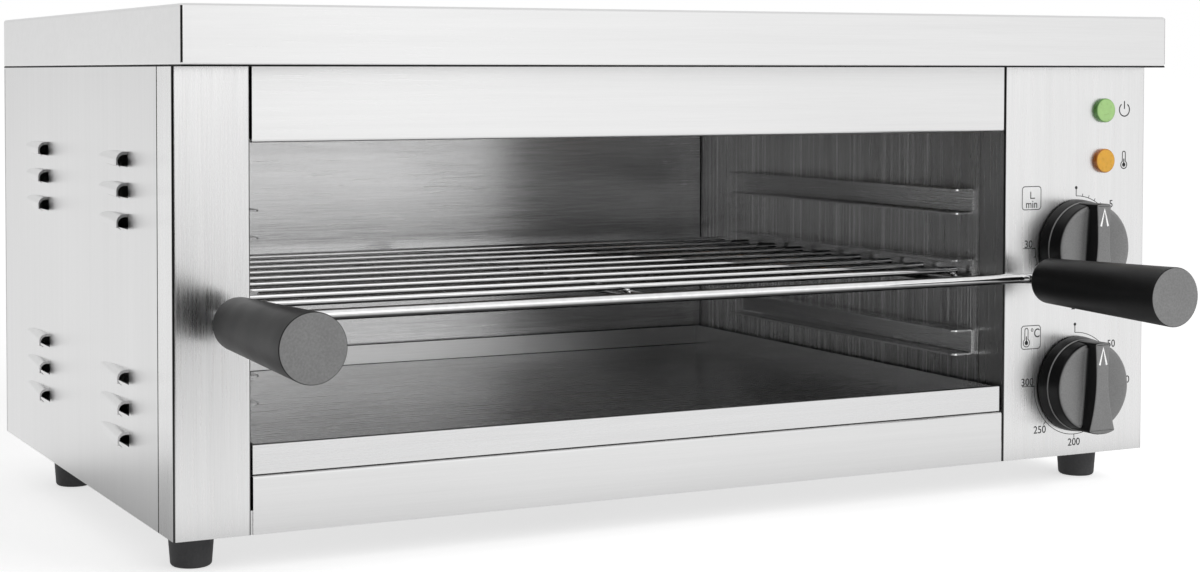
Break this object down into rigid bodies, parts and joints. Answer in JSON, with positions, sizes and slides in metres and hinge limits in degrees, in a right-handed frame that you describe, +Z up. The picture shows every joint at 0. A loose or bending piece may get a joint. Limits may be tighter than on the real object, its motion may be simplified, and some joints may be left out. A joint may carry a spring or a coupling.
{
  "type": "cheese melter",
  "caption": "Countertop salamander grill: open heated cavity with a sliding wire rack on grips, a pull-out crumb tray, and a timer and thermostat beside it.",
  "frame": {"origin": "middle of the whole outline, on the surface that the feet stand on", "axes": "+X to the right seen from the front, +Y from the front to the back, +Z up"},
  "size_m": [0.6222, 0.4938, 0.281],
  "materials": {
    "stainless_outer": "brushed stainless sheet, fine grain",
    "stainless_inner": "brushed stainless sheet, coarser grain",
    "chrome_wire": "bright plated wire",
    "grip_plastic": "matt charcoal moulding",
    "knob_plastic": "satin black moulding",
    "plated_steel": "zinc plated steel",
    "heater_tube": "heat-tinted tube",
    "bead_ceramic": "glazed ceramic",
    "switch_plastic": "pale moulded plastic",
    "capillary_brass": "bare metal",
    "wire_cover": "heat-resistant sleeve",
    "gland_plastic": "moulded nylon",
    "green_lens": "translucent green lens",
    "orange_lens": "translucent orange lens",
    "foot_rubber": "moulded rubber"
  },
  "bodies": {
    "housing": {"top_cap": "stainless_outer", "left_side_panel": "stainless_outer", "right_side_panel": "stainless_outer", "back_panel": "stainless_outer", "bottom_plate": "stainless_inner", "left_stile": "stainless_outer", "control_panel": "stainless_outer", "upper_fascia": "stainless_outer", "lower_fascia": "stainless_outer", "cavity_left_wall": "stainless_inner", "cavity_right_wall": "stainless_inner", "cavity_back_wall": "stainless_inner", "reflector": "stainless_inner", "left_tray_rail": "stainless_inner", "right_tray_rail": "stainless_inner", "left_runner_low": "stainless_inner", "left_runner_middle": "stainless_inner", "left_runner_high": "stainless_inner", "right_runner_low": "stainless_inner", "right_runner_middle": "stainless_inner", "right_runner_high": "stainless_inner", "front_element": "heater_tube", "rear_element": "heater_tube", "element_flanges": "plated_steel", "element_beads": "bead_ceramic", "element_hangers": "stainless_inner", "sensing_bulb": "capillary_brass", "bulb_clips": "stainless_inner", "timer_body": "switch_plastic", "thermostat_body": "switch_plastic", "control_screws": "plated_steel", "green_lens": "green_lens", "orange_lens": "orange_lens", "green_lamp_body": "switch_plastic", "orange_lamp_body": "switch_plastic", "terminal_block": "switch_plastic", "internal_wiring": "wire_cover", "cable_gland": "gland_plastic", "gland_locknut": "gland_plastic", "back_screws": "plated_steel", "foot_front_left": "foot_rubber", "foot_front_right": "foot_rubber", "foot_back_left": "foot_rubber", "foot_back_right": "foot_rubber", "foot_screws": "plated_steel", "foot_nuts": "plated_steel"},
    "rack": {"rack_front_rod": "chrome_wire", "rack_left_rod": "chrome_wire", "rack_middle_rod": "chrome_wire", "rack_right_rod": "chrome_wire", "rack_cross_wires": "chrome_wire", "left_grip": "grip_plastic", "right_grip": "grip_plastic"},
    "tray": {"crumb_tray": "stainless_inner"},
    "timer_dial": {"timer_knob": "knob_plastic", "timer_shaft": "plated_steel"},
    "thermostat_dial": {"thermostat_knob": "knob_plastic", "thermostat_shaft": "plated_steel"}
  },
  "joints": [
    {"name": "rack_slide", "type": "slide", "parent": "housing", "child": "rack", "axis": [0, -1, 0], "range_m": [0, 0.2]},
    {"name": "tray_slide", "type": "slide", "parent": "housing", "child": "tray", "axis": [0, -1, 0], "range_m": [0, 0.28]},
    {"name": "timer_turn", "type": "hinge", "parent": "housing", "child": "timer_dial", "pos_m": [0.2525, -0.1355, 0.1442], "axis": [0, 1, 0], "range_deg": [0, 270]},
    {"name": "thermostat_turn", "type": "hinge", "parent": "housing", "child": "thermostat_dial", "pos_m": [0.2525, -0.1355, 0.0627], "axis": [0, 1, 0], "range_deg": [0, 270]}
  ]
}
